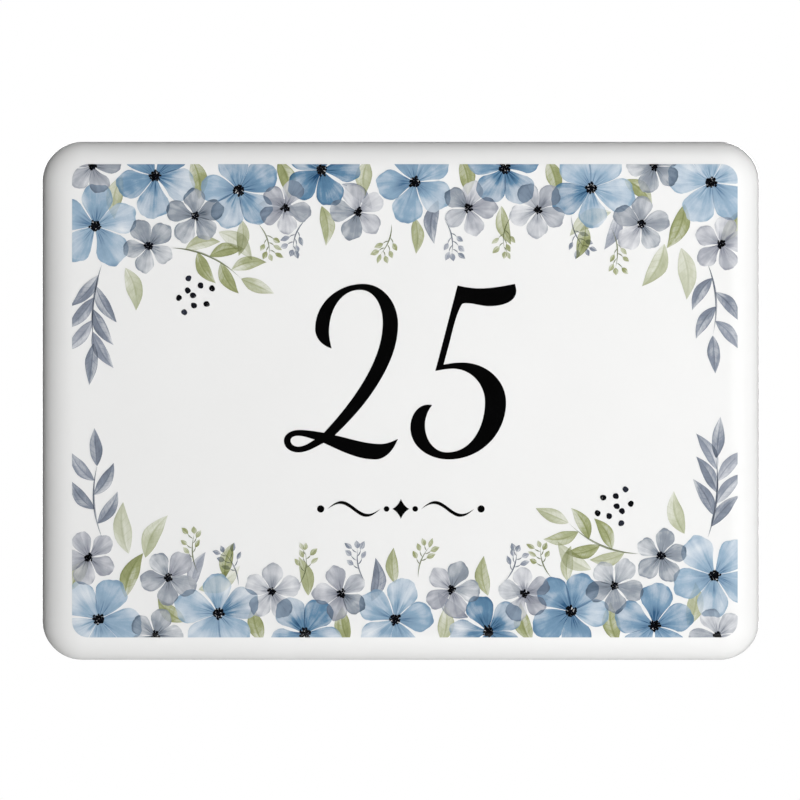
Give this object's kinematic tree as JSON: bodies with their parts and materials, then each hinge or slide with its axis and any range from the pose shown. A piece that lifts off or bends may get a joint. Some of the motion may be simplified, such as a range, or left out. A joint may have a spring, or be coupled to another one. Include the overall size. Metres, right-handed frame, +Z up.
{
  "type": "house number plaque",
  "caption": "Enamelled steel house number plaque: a shallow rounded tray with a white face, black numerals and a floral border.",
  "frame": {"origin": "middle of the wall plane that the rim of the flange rests on", "axes": "+X along the length, +Y into the wall, +Z up; the printed face looks along -Y"},
  "size_m": [0.18, 0.0082, 0.13],
  "materials": {
    "white_enamel": "glossy white vitreous enamel over steel",
    "black_print": "black print under a clear gloss",
    "navy_print": "near-black navy print under a clear gloss",
    "blue_print": "washed blue print under a clear gloss",
    "grey_print": "washed lavender grey print under a clear gloss",
    "green_print": "washed olive print under a clear gloss",
    "sage_print": "washed sage print under a clear gloss",
    "slate_print": "washed slate print under a clear gloss"
  },
  "bodies": {
    "root": {"plate": "white_enamel", "numerals": "black_print", "flourish": "black_print", "berries": "black_print", "blossom_eyes": "navy_print", "blue_blossoms": "blue_print", "grey_blossoms": "grey_print", "green_leaves": "green_print", "sage_leaves": "sage_print", "slate_leaves": "slate_print"}
  },
  "joints": []
}
